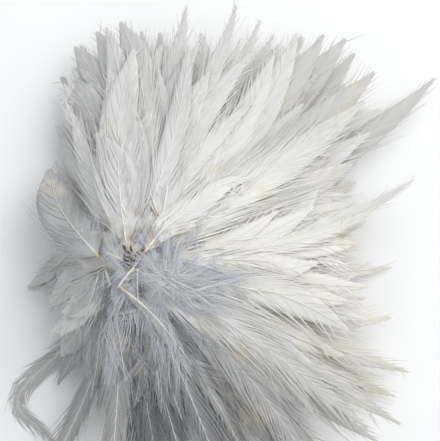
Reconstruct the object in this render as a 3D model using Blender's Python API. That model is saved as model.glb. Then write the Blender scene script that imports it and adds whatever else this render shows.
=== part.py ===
"""A strung bunch of white goose feathers, lying like a low mop with its quill butts uppermost.

The quills are sewn side by side on one thread. The strung row is wound in turns that climb round an
upright core, so every feather leaves the core at its own height, arches over and comes down towards
the floor. +Z is up and the floor is at z = 0.
"""

import math
from collections import namedtuple

import bmesh
import bpy
from mathutils import Matrix, Vector

MM = 0.001
SHARP_FROM = math.radians(40)

# The row of feathers, wound round the core
TURNS = 9
FIRST_RANK = 4  # the feather that starts the row, counted by azimuth from 0
BUTT_NEAREST = 3.0 * MM  # from the axis to the innermost quill butts
BUTT_STEPS = 5  # the butts end at this many distances from the axis, in turn
BUTT_STEP = 1.1 * MM
CORE_BOTTOM = 38.0 * MM  # height of the lowest quill at the core
TURN_RISE = 2.6 * MM  # from one turn to the next, at the core

# Where the feathers come to rest
FOOT_RADIUS = 86.0 * MM  # how far out the arch ends, on average
FOOT_LEAN = 44.0 * MM  # further out on the right, nearer on the left, because the bunch leans to the left
FLOOR_FEATHERS = 6  # the first feathers of the row lie flat on the floor
FIRST_LIFT = 1.8 * MM  # of the first feather that lies on another
NEXT_LIFT = 0.46 * MM  # more for each feather after it

# One feather
QUILL_WIDTH = 1.1 * MM
QUILL_DEPTH = 1.2 * MM
QUILL_BEVEL = 0.3  # share of the depth taken off above and below each side
SHAFT_DEPTH = 0.8 * MM  # the shaft between the two vanes
VANE_EDGE = 0.28 * MM
OUTLINE = (  # share of the length, share of the width
    (0.00, 0.00),
    (0.05, 0.00),
    (0.13, 0.34),
    (0.24, 0.66),
    (0.37, 0.92),
    (0.50, 1.00),
    (0.62, 0.98),
    (0.74, 0.85),
    (0.85, 0.60),
    (0.94, 0.30),
    (1.00, 0.03),
)
VANE_FROM = 0.13  # share of the length where the vane's flat section starts

# The thread that strings the quills
THREAD_RADIUS = 0.25 * MM
THREAD_AT = 8.5 * MM  # from the axis
THREAD_STEP_DEGREES = 30

# The small feathers and down inside, as one solid that reaches their tips
INNER_CLEARANCE = 1.6 * MM  # below the lowest feathers
INNER_RINGS = 7
INNER_SIDES = 28
INNER_SHARE = 0.72  # of the foot radius

# Azimuth of the tip in degrees, anticlockwise from +X seen from above. Reach from the core's axis,
# seen from above, and width, in millimetres.
# Bow is how far the tip is off the quill's line, as a share of the reach, positive to the left.
Feather = namedtuple("Feather", "azimuth reach width bow")
FEATHERS = (
    Feather(4.5, 128, 12, 0.04),
    Feather(10, 113, 15, 0.06),
    Feather(15.5, 118, 15, 0.10),
    Feather(20.5, 143, 8, 0.20),
    Feather(26, 123, 16, 0.05),
    Feather(31.5, 131, 15, 0.08),
    Feather(35, 182, 11, 0.10),
    Feather(38.5, 143, 15, 0.05),
    Feather(41.5, 158, 14, 0.04),
    Feather(44.5, 148, 15, -0.04),
    Feather(47, 162, 13, 0.03),
    Feather(49.5, 163, 15, -0.02),
    Feather(53, 156, 14, 0.05),
    Feather(57, 155, 13, 0.02),
    Feather(61.5, 147, 13, -0.03),
    Feather(65, 149, 11, 0.00),
    Feather(67, 134, 15, 0.04),
    Feather(70, 148, 9, 0.02),
    Feather(72, 127, 14, -0.05),
    Feather(74.5, 129, 15, 0.03),
    Feather(77, 119, 15, -0.04),
    Feather(79.5, 141, 10, -0.02),
    Feather(82.5, 126, 15, -0.06),
    Feather(85, 131, 17, 0.03),
    Feather(89, 129, 15, 0.05),
    Feather(93, 132, 14, 0.06),
    Feather(96.5, 128, 15, 0.04),
    Feather(100, 119, 14, 0.09),
    Feather(103.5, 125, 13, 0.12),
    Feather(109, 110, 12, 0.14),
    Feather(111.5, 98, 8, 0.05),
    Feather(114, 84, 10, 0.04),
    Feather(119, 69, 12, 0.05),
    Feather(128, 67, 15, 0.10),
    Feather(138, 58, 15, -0.06),
    Feather(151, 48, 14, 0.08),
    Feather(166, 45, 14, 0.06),
    Feather(184, 52, 12, 0.14),
    Feather(197, 43, 13, 0.08),
    Feather(213, 48, 13, -0.08),
    Feather(222, 114, 8, 0.00),
    Feather(234, 62, 12, 0.10),
    Feather(246, 112, 12, -0.05),
    Feather(255, 66, 13, -0.06),
    Feather(265, 112, 14, 0.03),
    Feather(272, 122, 15, -0.04),
    Feather(279, 106, 15, 0.06),
    Feather(286, 128, 15, 0.02),
    Feather(294, 114, 16, -0.05),
    Feather(302, 130, 15, 0.03),
    Feather(310, 122, 15, -0.06),
    Feather(318, 130, 15, 0.05),
    Feather(326.5, 142, 12, 0.03),
    Feather(331, 146, 12, -0.03),
    Feather(337, 139, 15, 0.05),
    Feather(342, 141, 14, 0.02),
    Feather(350, 115, 15, -0.04),
    Feather(358, 114, 15, 0.03),
)

BOW_POWER = 2.5  # the bow grows with this power of the distance, so the quill end stays nearly straight

# One feather's shaft is broken, and its outer part is folded round to the left
BENT_AZIMUTH = 222
BEND_AT = 0.67  # share of its length
BEND_TURN = 88  # degrees

# Colour and roughness
VANE_FINISH = ((0.86, 0.86, 0.84), 0.75)
DOWN_FINISH = ((0.86, 0.86, 0.84), 0.95)
THREAD_FINISH = ((0.88, 0.87, 0.83), 0.8)


def remove_everything():
    for old in list(bpy.data.objects):
        bpy.data.objects.remove(old)


def plain_material(name, finish):
    colour, roughness = finish
    material = bpy.data.materials.new(name)
    material.use_nodes = True
    surface = material.node_tree.nodes["Principled BSDF"]
    surface.inputs["Base Color"].default_value = (*colour, 1)
    surface.inputs["Roughness"].default_value = roughness
    surface.inputs["Metallic"].default_value = 0
    return material


def add_object(name, shape, material):
    """Links a new object that holds a bmesh, shaded smooth but for its sharp edges."""
    mesh = bpy.data.meshes.new(name)
    bmesh.ops.recalc_face_normals(shape, faces=shape.faces)
    shape.to_mesh(mesh)
    shape.free()
    mesh.materials.append(material)
    mesh.shade_smooth()
    mesh.set_sharp_from_angle(angle=SHARP_FROM)
    made = bpy.data.objects.new(name, mesh)
    bpy.context.scene.collection.objects.link(made)
    return made


def by_azimuth():
    return sorted(FEATHERS, key=lambda feather: feather.azimuth)


def rank_in_row(number):
    """The rank by azimuth of a feather, from its number along the thread.

    Neighbours on the thread are TURNS ranks apart, so the row runs TURNS times round the core.
    """
    return (FIRST_RANK + number * TURNS) % len(FEATHERS)


def place_in_row(rank):
    """The feather's number along the thread, from its rank by azimuth."""
    return next(n for n in range(len(FEATHERS)) if rank_in_row(n) == rank)


def turns_up(number):
    """How many turns above the start of the thread a feather leaves the core."""
    return number * TURNS / len(FEATHERS)


def rest_height(number):
    """The height at which a feather ends: on the floor, or on the feathers under it."""
    if number < FLOOR_FEATHERS:
        return 0.0
    return FIRST_LIFT + (number - FLOOR_FEATHERS) * NEXT_LIFT


def arch(out, azimuth):
    """1 at the core, falling smoothly to 0 at the foot of the arch."""
    share = min(out / (FOOT_RADIUS + FOOT_LEAN * math.cos(azimuth)), 1.0)
    return 1 - share * share * (3 - 2 * share)


def height_at(number, x, y):
    """The underside of a feather over a point of the floor, measured from the core's axis."""
    falling = arch(math.hypot(x, y), math.atan2(y, x))
    at_core = CORE_BOTTOM + turns_up(number) * TURN_RISE
    return falling * at_core + (1 - falling) * rest_height(number)


def butt_radius(number):
    """How far from the axis a quill ends. Neighbours on the thread end at different distances."""
    return BUTT_NEAREST + number * 2 % BUTT_STEPS * BUTT_STEP


def floor_point(feather, number, share):
    """The point of the floor under the shaft, and the level direction across the shaft there."""
    start = math.radians(feather.azimuth) - math.atan(feather.bow)
    ahead = Vector((math.cos(start), math.sin(start)))
    aside = Vector((-ahead.y, ahead.x))
    butt = butt_radius(number)
    run = feather.reach * MM - butt
    straight = min(share, BEND_AT) if is_bent(feather) else share
    point = ahead * (butt + straight * run) + aside * (feather.bow * run * straight**BOW_POWER)
    turn = math.atan(BOW_POWER * feather.bow * straight ** (BOW_POWER - 1))
    if is_bent(feather) and share >= BEND_AT:
        folded = ahead.copy()
        folded.rotate(Matrix.Rotation(math.radians(BEND_TURN), 2))
        point += folded * ((share - BEND_AT) * run)
        turn = math.radians(BEND_TURN) if share > BEND_AT else math.radians(BEND_TURN) / 2
    return point, aside * math.cos(turn) - ahead * math.sin(turn)


def is_bent(feather):
    return feather.azimuth == BENT_AZIMUTH


def stations(feather):
    """The outline's points, with one more at the bend of the bent feather."""
    if not is_bent(feather):
        return OUTLINE
    before = max(point for point in OUTLINE if point[0] < BEND_AT)
    after = min(point for point in OUTLINE if point[0] > BEND_AT)
    between = (BEND_AT - before[0]) / (after[0] - before[0])
    bend = (BEND_AT, before[1] + between * (after[1] - before[1]))
    return tuple(sorted((*OUTLINE, bend)))


def section(feather, share, width_share):
    """Six corners of the feather's section as (across, up from the underside)."""
    if share < VANE_FROM:
        half = QUILL_WIDTH / 2
        low, high, crown = QUILL_DEPTH * QUILL_BEVEL, QUILL_DEPTH * (1 - QUILL_BEVEL), QUILL_DEPTH
    else:
        half = max(feather.width * MM * width_share, QUILL_WIDTH) / 2
        low, high, crown = 0.0, VANE_EDGE, SHAFT_DEPTH
    return ((-half, low), (-half, high), (0, crown), (half, high), (half, low), (0, 0))


def add_feather(name, number, feather, material):
    """One feather, its quill butt at the core: rings of six corners joined along its length."""
    shape = bmesh.new()
    rings = []
    for share, width_share in stations(feather):
        point, sideways = floor_point(feather, number, share)
        ring = []
        for across, up in section(feather, share, width_share):
            x, y = point + across * sideways
            ring.append(shape.verts.new((x, y, height_at(number, x, y) + up)))
        rings.append(ring)
    for ring, following in zip(rings, rings[1:]):
        for i in range(len(ring)):
            j = (i + 1) % len(ring)
            shape.faces.new((ring[i], ring[j], following[j], following[i]))
    shape.faces.new(rings[0])
    shape.faces.new(reversed(rings[-1]))
    return add_object(name, shape, material)


def add_thread(material):
    """The stringing thread: it climbs with the quills, half a turn's rise under each of them."""
    in_order = [by_azimuth()[rank_in_row(number)] for number in range(len(FEATHERS))]
    halfway_down = TURN_RISE / 2 - QUILL_DEPTH / 2
    points = []
    for number, feather in enumerate(in_order[:-1]):
        gap = (in_order[number + 1].azimuth - feather.azimuth) % 360
        steps = max(1, round(gap / THREAD_STEP_DEGREES))
        for step in range(steps):
            share = step / steps
            azimuth = math.radians(feather.azimuth + share * gap)
            x = THREAD_AT * math.cos(azimuth)
            y = THREAD_AT * math.sin(azimuth)
            points.append((x, y, height_at(number + share, x, y) - halfway_down))
    curve = bpy.data.curves.new("stringing_thread", "CURVE")
    curve.dimensions = "3D"
    curve.bevel_depth = THREAD_RADIUS
    curve.bevel_resolution = 2
    curve.use_fill_caps = True
    spline = curve.splines.new("POLY")
    spline.points.add(len(points) - 1)
    for knot, point in zip(spline.points, points):
        knot.co = (*point, 1)
    curve.materials.append(material)
    made = bpy.data.objects.new("stringing_thread", curve)
    bpy.context.scene.collection.objects.link(made)
    return made


def add_inner_feathers(material):
    """The mass of small feathers and down under the arch, flat where it rests on the floor."""
    shape = bmesh.new()
    rings = []
    for ring_number in range(1, INNER_RINGS + 1):
        ring = []
        for side in range(INNER_SIDES):
            azimuth = 2 * math.pi * side / INNER_SIDES
            foot = FOOT_RADIUS + FOOT_LEAN * math.cos(azimuth)
            out = INNER_SHARE * foot * ring_number / INNER_RINGS
            x, y = out * math.cos(azimuth), out * math.sin(azimuth)
            ring.append(shape.verts.new((x, y, height_at(0, x, y) - INNER_CLEARANCE)))
        rings.append(ring)
    base = [shape.verts.new((corner.co.x, corner.co.y, 0)) for corner in rings[-1]]
    rings.append(base)
    for ring, following in zip(rings, rings[1:]):
        for i in range(INNER_SIDES):
            j = (i + 1) % INNER_SIDES
            shape.faces.new((ring[i], ring[j], following[j], following[i]))
    shape.faces.new(rings[0])
    shape.faces.new(reversed(base))
    return add_object("inner_feathers", shape, material)


def stand_on_origin(objects):
    """Parents everything to the core, and moves that to put the origin under the bunch's middle."""
    meshes = [obj.data for obj in objects if obj.type == "MESH"]
    corners = [vertex.co for mesh in meshes for vertex in mesh.vertices]
    middle_x = (min(c.x for c in corners) + max(c.x for c in corners)) / 2
    middle_y = (min(c.y for c in corners) + max(c.y for c in corners)) / 2
    core = bpy.data.objects.new("core_axis", None)
    bpy.context.scene.collection.objects.link(core)
    for obj in objects:
        obj.parent = core
    core.location = (-middle_x, -middle_y, 0)


def main():
    remove_everything()
    vane = plain_material("white vane", VANE_FINISH)
    down = plain_material("white down", DOWN_FINISH)
    thread = plain_material("cotton thread", THREAD_FINISH)
    objects = []
    for rank, feather in enumerate(by_azimuth()):
        number = place_in_row(rank)
        objects.append(add_feather(f"feather_{rank + 1:02d}", number, feather, vane))
    objects.append(add_inner_feathers(down))
    objects.append(add_thread(thread))
    stand_on_origin(objects)


main()
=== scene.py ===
"""The looks of a strung bunch of white goose feathers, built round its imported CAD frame.

Every long feather keeps the path of its CAD feather, and most have wider vanes, which close over
each other. A feather is made straight by one Geometry Nodes tree, barb by barb, and then laid along
its path. Loose and shorter feathers, down and the stringing thread fill the bunch in the same way.
Lengths are in metres unless a comment says millimetres, and +Z is up.
"""

import functools
import math
import random
from collections import namedtuple

import bmesh
import bpy
import numpy as np
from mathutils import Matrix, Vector


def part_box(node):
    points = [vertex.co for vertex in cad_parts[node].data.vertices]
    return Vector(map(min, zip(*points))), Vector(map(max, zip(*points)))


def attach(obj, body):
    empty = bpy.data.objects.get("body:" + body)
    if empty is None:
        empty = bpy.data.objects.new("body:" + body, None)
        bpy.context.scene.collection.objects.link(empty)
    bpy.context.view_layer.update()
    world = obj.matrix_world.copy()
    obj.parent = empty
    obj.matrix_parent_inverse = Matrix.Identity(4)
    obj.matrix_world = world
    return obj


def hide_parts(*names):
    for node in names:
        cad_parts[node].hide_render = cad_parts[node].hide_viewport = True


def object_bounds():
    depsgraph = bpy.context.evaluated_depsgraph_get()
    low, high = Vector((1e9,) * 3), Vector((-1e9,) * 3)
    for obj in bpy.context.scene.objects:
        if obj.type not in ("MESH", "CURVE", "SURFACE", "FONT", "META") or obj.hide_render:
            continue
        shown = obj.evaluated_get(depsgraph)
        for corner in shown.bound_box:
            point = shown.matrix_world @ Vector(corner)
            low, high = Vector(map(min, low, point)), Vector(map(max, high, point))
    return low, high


bl_info = {
    "name": "Strung Feather Bunch",
    "version": (1, 0, 0),
    "blender": (4, 5, 0),
    "location": "View3D > Sidebar > Feathers",
    "description": "Builds the looks of a strung bunch of white goose feathers",
    "category": "Add Mesh",
}

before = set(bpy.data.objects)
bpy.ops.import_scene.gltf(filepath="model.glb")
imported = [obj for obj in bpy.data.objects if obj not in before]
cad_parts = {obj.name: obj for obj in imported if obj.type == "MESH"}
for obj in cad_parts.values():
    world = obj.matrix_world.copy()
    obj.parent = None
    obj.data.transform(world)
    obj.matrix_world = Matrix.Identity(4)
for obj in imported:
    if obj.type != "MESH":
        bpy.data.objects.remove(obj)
CAD_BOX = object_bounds()

MM = 0.001
WELD = 0.000001  # closest distance of two real corners in the frame
FLOOR_GAP = 0.0002  # lowest point of anything above the floor
UNDERSIDE = 0.0003  # how far a feather reaches below its middle line
CAD_RIB = 0.26 * MM  # how far a CAD shaft's middle stands above its vanes
CAD_VANE = 1.5 * MM  # a CAD feather's tilt and droop are read where its half width is more
LEAST_WIDTH = 0.3 * MM  # half width taken for a ring that is nearly a point
MOST_DROOP = 30.0  # strongest bend across a vane, in metres of fall for each square metre
MOST_TILT = 0.6  # steepest slope across a loose feather
SAMPLES = 72  # points read along each feather's path
BESIDE = 4 * MM  # how far aside of a loose feather the slope under it is read
SMOOTHED = 9  # neighbouring points that a loose feather's height and tilt are averaged over

LONG_FEATHERS = sorted(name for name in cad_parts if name.startswith("feather_"))
BENT_FEATHER = "feather_41"

# Share of the feather's length, share of its half width
VANE_OUTLINE = (
    (0.00, 0.08),
    (0.05, 0.20),
    (0.12, 0.42),
    (0.22, 0.68),
    (0.34, 0.88),
    (0.48, 1.00),
    (0.62, 1.00),
    (0.76, 0.92),
    (0.87, 0.74),
    (0.95, 0.46),
    (1.00, 0.06),
)

# The same for the closed web under the barbs, which leaves the foot and the tip to free barbs
WEB_OUTLINE = (
    (0.00, 0.00),
    (0.10, 0.04),
    (0.20, 0.22),
    (0.32, 0.66),
    (0.46, 0.96),
    (0.60, 1.00),
    (0.72, 0.90),
    (0.84, 0.62),
    (0.93, 0.28),
    (1.00, 0.02),
)
WEB_END = 0.985  # where the web ends, as a share of the feather's length
WEB_THICK = 0.00009  # half the thickness of the web's sheet
BARB_BEND = 0.34  # how far a barb bows out to the tip
BARB_SLANT = 2.2  # how far the drawn streaks run along the shaft for each unit they run out
BARB_CURVE = 320.0  # how much that grows with each metre from the shaft

# Feathers that lie loose on the upper side. The points of the shaft, from the quill's butt to the
# tip, and the vane's half width are in millimetres from the core's axis, seen from above. Lift is
# the height in millimetres over the long feathers, at the butt and at the tip. Down is the number
# of downy barbs, web the closed part of the vane's width, and the last field is extra painted shade
# on top of what the feather's direction gives.
Loose = namedtuple("Loose", "points half_width lift down web grey", defaults=(20, 0.62, 0.0))
LOOSE_FEATHERS = (
    Loose(((-14, 4), (-26, 20), (-37, 38), (-42, 57)), 14.0, (5.0, 3.5), 40, 0.85, 0.3),
    Loose(((-17, 26), (-24, 17), (-37, 9), (-52, -3)), 8.0, (3.4, 1.2), 10, 0.8, 0.2),
    Loose(((-15, 12), (-23, 4), (-32, -5), (-42, -14)), 9.5, (2.4, 1.4), 20, 0.8, 0.2),
    Loose(((-13, 3), (-17, -11), (-24, -23), (-35, -36)), 9.5, (2.8, 1.6), 40, 0.8, 0.1),
    Loose(((-12, 2), (-7, -16), (-4, -37), (0, -70)), 5.0, (2.4, 1.5), 60),
    Loose(((-12, 1), (-12, -15), (-14, -32), (-19, -57)), 5.5, (1.6, 1.2), 50),
    Loose(((-4, -11), (9, -21), (25, -39), (39, -58), (51, -78)), 4.5, (5.0, 2.0), 60),
    Loose(((11, -8), (22, -19), (43, -35), (64, -50), (90, -65)), 7.0, (2.2, 2.0), 60),
    Loose(((7, 5), (16, 17), (31, 29), (45, 42), (58, 46)), 8.0, (5.0, 5.5), 10),
    Loose(((13, 24), (4, 50), (-11, 76), (-27, 97)), 9.0, (2.4, 1.5)),
    Loose(((14, 16), (17, 43), (14, 78), (11, 107)), 9.5, (2.6, 1.5)),
    Loose(((-1, 22), (-10, 45), (-21, 68), (-30, 86)), 7.5, (1.6, 1.0)),
    Loose(((16, 19), (30, 45), (43, 73), (50, 96)), 8.5, (2.2, 1.5)),
    Loose(((20, 8), (42, 22), (68, 33), (96, 40)), 8.5, (1.8, 1.5)),
    Loose(((22, 2), (50, 8), (78, 11), (105, 6)), 8.0, (2.0, 1.5)),
    Loose(((26, -12), (54, -21), (80, -30), (104, -38)), 8.0, (1.6, 1.5)),
    Loose(((10, -16), (13, -33), (17, -48), (24, -68)), 6.5, (1.4, 1.0), 60),
    Loose(((24, 14), (40, 33), (60, 54), (74, 76)), 8.5, (1.6, 1.2)),
    Loose(((34, 24), (48, 25), (60, 19), (68, 8)), 6.0, (3.0, 2.0), 10),
    Loose(((-4, 12), (-18, 30), (-30, 44), (-40, 62)), 7.0, (1.0, 1.0)),
    Loose(((-6, 38), (-14, 62), (-24, 83), (-35, 95)), 9.0, (1.4, 1.5), 20, 0.85),
    Loose(((-2, 46), (-8, 73), (-17, 96), (-28, 107)), 9.0, (1.4, 1.5), 20, 0.85),
    Loose(((3, 55), (-2, 82), (-8, 103), (-15, 114)), 8.5, (1.2, 1.5), 20, 0.85),
    Loose(((-8, 50), (-18, 74), (-29, 95), (-38, 104)), 10.0, (1.6, 1.5), 20, 0.85),
    Loose(((-4, 58), (-12, 84), (-22, 106), (-31, 119)), 10.0, (1.8, 1.5), 20, 0.85),
    Loose(((2, 62), (-4, 90), (-12, 112), (-20, 126)), 10.0, (1.6, 1.5), 20, 0.85),
    Loose(((6, 66), (4, 92), (-1, 114), (-8, 130)), 9.0, (1.6, 1.5), 20, 0.85),
    Loose(((-12, 30), (-22, 50), (-31, 68), (-40, 80)), 9.0, (1.6, 1.5), 20, 0.85),
    Loose(((18, 10), (40, 22), (62, 36), (86, 54)), 9.5, (2.0, 2.0)),
    Loose(((20, 14), (46, 30), (76, 40), (107, 43)), 9.5, (1.6, 2.0)),
    Loose(((24, 10), (54, 20), (84, 27), (112, 31)), 9.5, (1.8, 2.0)),
    Loose(((24, 18), (48, 38), (72, 56), (97, 68)), 9.0, (1.6, 2.0)),
    Loose(((28, 26), (46, 46), (66, 68), (83, 88)), 11.5, (2.6, 3.0)),
    Loose(((30, 20), (52, 38), (76, 56), (100, 76)), 12.0, (2.8, 3.0)),
    Loose(((36, 22), (58, 34), (82, 45), (107, 58)), 12.0, (2.6, 3.0)),
    Loose(((38, 14), (62, 24), (86, 32), (111, 39)), 12.0, (2.8, 3.0)),
    Loose(((36, 6), (62, 10), (86, 15), (110, 18)), 11.0, (2.6, 2.6)),
    Loose(((12, 40), (18, 62), (28, 86), (37, 104)), 10.0, (2.2, 2.0)),
    Loose(((20, 6), (46, 12), (70, 20), (98, 24)), 9.5, (2.4, 2.0)),
    Loose(((22, -4), (48, -8), (76, -10), (106, -12)), 9.5, (2.2, 2.0)),
)
BARE_QUILL = Loose(((-4.5, -11), (0.5, -4.5), (5, 1.5)), 0.5, (5.2, 6.0), down=0)

# The thread's loose end, measured like the feathers, and its height over them
THREAD_END = ((4.2, -3.0), (4.0, -10.0), (4.3, -17.0))
THREAD_LIFT = 6.0 * MM
THREAD_LEVEL = 0.6 * MM  # the corners of the thread's lower end are level within this

# Directions from the core, in degrees
DEEPEST_SHADE_AZIMUTH = -80.0  # the deepest painted shade, on the lower side away from the key light
LEFT_SHADE_AZIMUTH = 150.0  # a little painted shade, on the left side away from the key light
WARM_LIGHT_AZIMUTH = -30.0  # the most cream, which is painted warm light on the right side; every feather has a little yellowing too
OPEN_SIDE = (-145.0, -56.0)  # short feathers are shorter still here, and vanes narrower
STRUT_SIDE = (-128.0, -92.0)  # here feathers are narrow struts with the floor in between

# How much wider a vane is than its CAD vane, as a range for each kind and a factor for some,
# and the inputs in which a kind of feather differs
LONG_WIDER = (1.25, 1.6)
SHORT_WIDER = (1.45, 2.05)
OPEN_WIDER = 0.8
STRUT_WIDER = 0.62
STRAP_WIDER = 1.15
STRAP_LENGTH = 0.155  # feathers longer than this are straps that stay closed to the tip
# Each of these adds painted shade to its feathers, and struts and straps also change their web
BENT = {"Grey": 0.5}
STRUT = {"Web": 0.8, "Grey": 0.75}
STRAP = {"Web": 0.84, "Grey": 0.22}
LONG = {"Down Barbs": 30}
SHORT = {"Down Barbs": 12, "Barb Points": 3, "Shaft Points": 18}
LOW = {"Down Barbs": 24, "Barb Points": 3, "Shaft Points": 12}
SHORT_COARSE = 1.35  # how much bigger the barbs of short and low feathers are
LOW_COARSE = 1.9
OPEN_SHARE = 0.62  # the reach of short feathers on the open side and between struts, by factor
STRUT_SHARE = 0.42
FEWEST_BARBS = 12
VANE_PART = 0.9  # part of the shaft that carries barbs
ROLL = 0.08  # most extra tilt of a feather to either side
CAMBER = (3.0, 14.0)  # extra droop of its vanes
USUAL_SHARE = 0.96  # the furthest reach of short and low feathers, as a share of the usual one
BATCHES = 6  # pieces that the short and low feathers are joined to

# Patches of down. The centre, the nearest and furthest root and the rise over the long feathers
# are in millimetres, measured like the feathers, and the directions in degrees. Part is a share of
# all the strands and scale of their length.
Patch = namedtuple("Patch", "name centre part first last nearest furthest rise scale")
DOWN_PATCHES = (
    Patch("down_plume", (19.0, -7.0), 0.36, -180, 180, 2, 20, 2.8, 1.05),
    Patch("down_right", (0.0, 0.0), 0.32, -75, 22, 4, 46, 1.8, 1.1),
    Patch("down_round", (0.0, 0.0), 0.16, 130, 290, 3, 20, 0.4, 0.8),
    Patch("down_trails", (0.0, 0.0), 0.16, -128, -18, 10, 46, 1.4, 1.9),
)
ROOTS_APART = 0.0014  # how far the strands of a tuft are rooted from its middle

CORE_SHADE_ASIDE = (2.0, 7.0)  # mm from the core's axis to the middle of the painted brown shade round the quills
CORE_SHADE_EDGE = (0.010, 0.030)  # where the painted shade starts to fade and where it ends

CAMERA_TARGET = (-0.00265, 0.0255, 0.0)
KEY_PLACE = (1.0, 0.7, 1.08)
KEY_SIZE = 1.9
KEY_COLOUR = (1.0, 0.985, 0.96)
FILL_PLACE = (-1.0, 0.2, 1.2)
FILL_SIZE = 0.9
FILL_COLOUR = (0.86, 0.92, 1.0)
LIGHT_TARGET_HEIGHT = 0.02
SKY_COLOUR = (0.93, 0.96, 1.0)
FLOOR_SIZE = 2.0


# Reading the frame


def thread_axis():
    """The upright axis of the core, from the middle of the stringing thread's turns."""
    low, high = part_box("stringing_thread")
    return np.array(((low.x + high.x) / 2, (low.y + high.y) / 2))


AXIS = thread_axis()


def butt_ring(corners):
    """The six corners of a feather's quill butt, which are the nearest to the axis."""
    middle = Vector(AXIS)
    return sorted(corners, key=lambda corner: (corner.co.xy - middle).length)[:6]


def thread_ring(corners):
    """The corners of the thread's lower end, which lie level with the lowest one."""
    lowest = min(corners, key=lambda corner: corner.co.z)
    beside = [edge.other_vert(lowest) for edge in lowest.link_edges]
    return [corner for corner in (lowest, *beside) if corner.co.z - lowest.co.z < THREAD_LEVEL]


def rings_of(name, first_ring):
    """The rings of corners along a swept CAD node, from the ring that first_ring picks."""
    shape = bmesh.new()
    shape.from_mesh(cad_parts[name].data)
    bmesh.ops.remove_doubles(shape, verts=shape.verts, dist=WELD)
    ring = first_ring(shape.verts)
    seen = set(ring)
    rings = []
    while ring:
        rings.append(np.array([corner.co[:] for corner in ring]))
        following = []
        for corner in ring:
            for edge in corner.link_edges:
                other = edge.other_vert(corner)
                if other not in seen:
                    seen.add(other)
                    following.append(other)
        ring = following
    shape.free()
    return rings


def run_along(points):
    """How far each point is along the line through all of them."""
    gaps = np.linalg.norm(np.diff(points, axis=0), axis=1)
    return np.concatenate(((0.0,), np.cumsum(gaps)))


def smooth_between(at, values, new_at):
    """Values at new places on a smooth curve through the given ones."""
    slopes = np.gradient(values, at, axis=0)
    left = np.clip(np.searchsorted(at, new_at, side="right") - 1, 0, len(at) - 2)
    step = at[left + 1] - at[left]
    share = (new_at - at[left]) / step
    if values.ndim > 1:
        step = step[:, None]
        share = share[:, None]
    square = share * share
    cube = square * share
    start = (2 * cube - 3 * square + 1) * values[left] + (cube - 2 * square + share) * step * slopes[left]
    end = (3 * square - 2 * cube) * values[left + 1] + (cube - square) * step * slopes[left + 1]
    return start + end


class Path:
    """The way a feather lies: its shaft's middle line, and how its vanes tilt and droop."""

    def __init__(self, points, tilt, droop, half_width):
        self.points = points
        self.tilt = tilt
        self.droop = droop
        self.half_width = half_width
        self.at = run_along(points)
        self.length = self.at[-1]
        ahead = np.gradient(points, self.at, axis=0)
        self.ahead = ahead / np.linalg.norm(ahead, axis=1)[:, None]
        aside = np.stack((-ahead[:, 1], ahead[:, 0], np.zeros(len(ahead))), axis=1)
        self.aside = aside / np.linalg.norm(aside, axis=1)[:, None]

    def read(self, values, at):
        if values.ndim == 1:
            return np.interp(at, self.at, values)
        return np.stack([np.interp(at, self.at, values[:, i]) for i in range(3)], axis=1)

    def lay(self, straight, roll, camber):
        """Lays points of a straight feather along this path. Roll and camber are extra."""
        x, y, z = straight.T
        at = np.clip(x, 0.0, self.length)
        middle = self.read(self.points, at)
        ahead = self.read(self.ahead, at)
        aside = self.read(self.aside, at)
        up = np.cross(ahead, aside)
        tilt = self.read(self.tilt, at) + roll
        droop = self.read(self.droop, at) - camber
        placed = middle + ahead * (x - at)[:, None] + aside * y[:, None] + up * z[:, None]
        placed[:, 2] += tilt * y + droop * y * y
        lowest = FLOOR_GAP + np.maximum(z + UNDERSIDE, 0.0)
        placed[:, 2] = np.maximum(placed[:, 2], lowest)
        return placed


@functools.cache
def path_of(name):
    """The path of a CAD feather, read from its rings."""
    rings = rings_of(name, butt_ring)
    middles = np.array([ring.mean(axis=0) for ring in rings])
    ahead = np.gradient(middles[:, :2], axis=0)
    ahead /= np.linalg.norm(ahead, axis=1)[:, None]
    centre, tilt, droop, half = [], [], [], []
    for ring, (along, across) in zip(rings, ahead):
        aside = np.array((-across, along))
        order = np.argsort((ring[:, :2] - ring[:, :2].mean(axis=0)) @ aside)
        if len(ring) < 3:
            right = middle = left = ring.mean(axis=0)
        else:
            edge = len(ring) // 3
            right = ring[order[:edge]].mean(axis=0)
            middle = ring[order[edge:-edge]].mean(axis=0)
            left = ring[order[-edge:]].mean(axis=0)
        width = max((left[:2] - right[:2]) @ aside / 2, LEAST_WIDTH)
        centre.append(middle)
        half.append(width)
        tilt.append((left[2] - right[2]) / (2 * width))
        droop.append(((left[2] + right[2]) / 2 - middle[2] + CAD_RIB) / width**2)
    wide = [i for i, width in enumerate(half) if width > CAD_VANE]
    for i in range(wide[0]):
        tilt[i] = tilt[wide[0]]
        droop[i] = 0.0
    for i in range(wide[-1] + 1, len(half)):
        tilt[i] = tilt[wide[-1]]
        droop[i] = droop[wide[-1]]
    centre, tilt, droop, half = map(np.array, (centre, tilt, droop, half))
    droop = np.clip(droop, -MOST_DROOP, MOST_DROOP / 3)
    at = run_along(centre)
    new_at = np.linspace(0.0, at[-1], SAMPLES)
    points = smooth_between(at, centre, new_at)
    return Path(points, np.interp(new_at, at, tilt), np.interp(new_at, at, droop), max(half))


def usual_reach(hosts, number):
    """The middle reach of a feather and its six neighbours, which shorter feathers don't pass."""
    near = [hosts[(number + step) % len(hosts)].points[-1, :2] - AXIS for step in range(-3, 4)]
    return USUAL_SHARE * sorted(np.linalg.norm(tip) for tip in near)[3]


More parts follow.
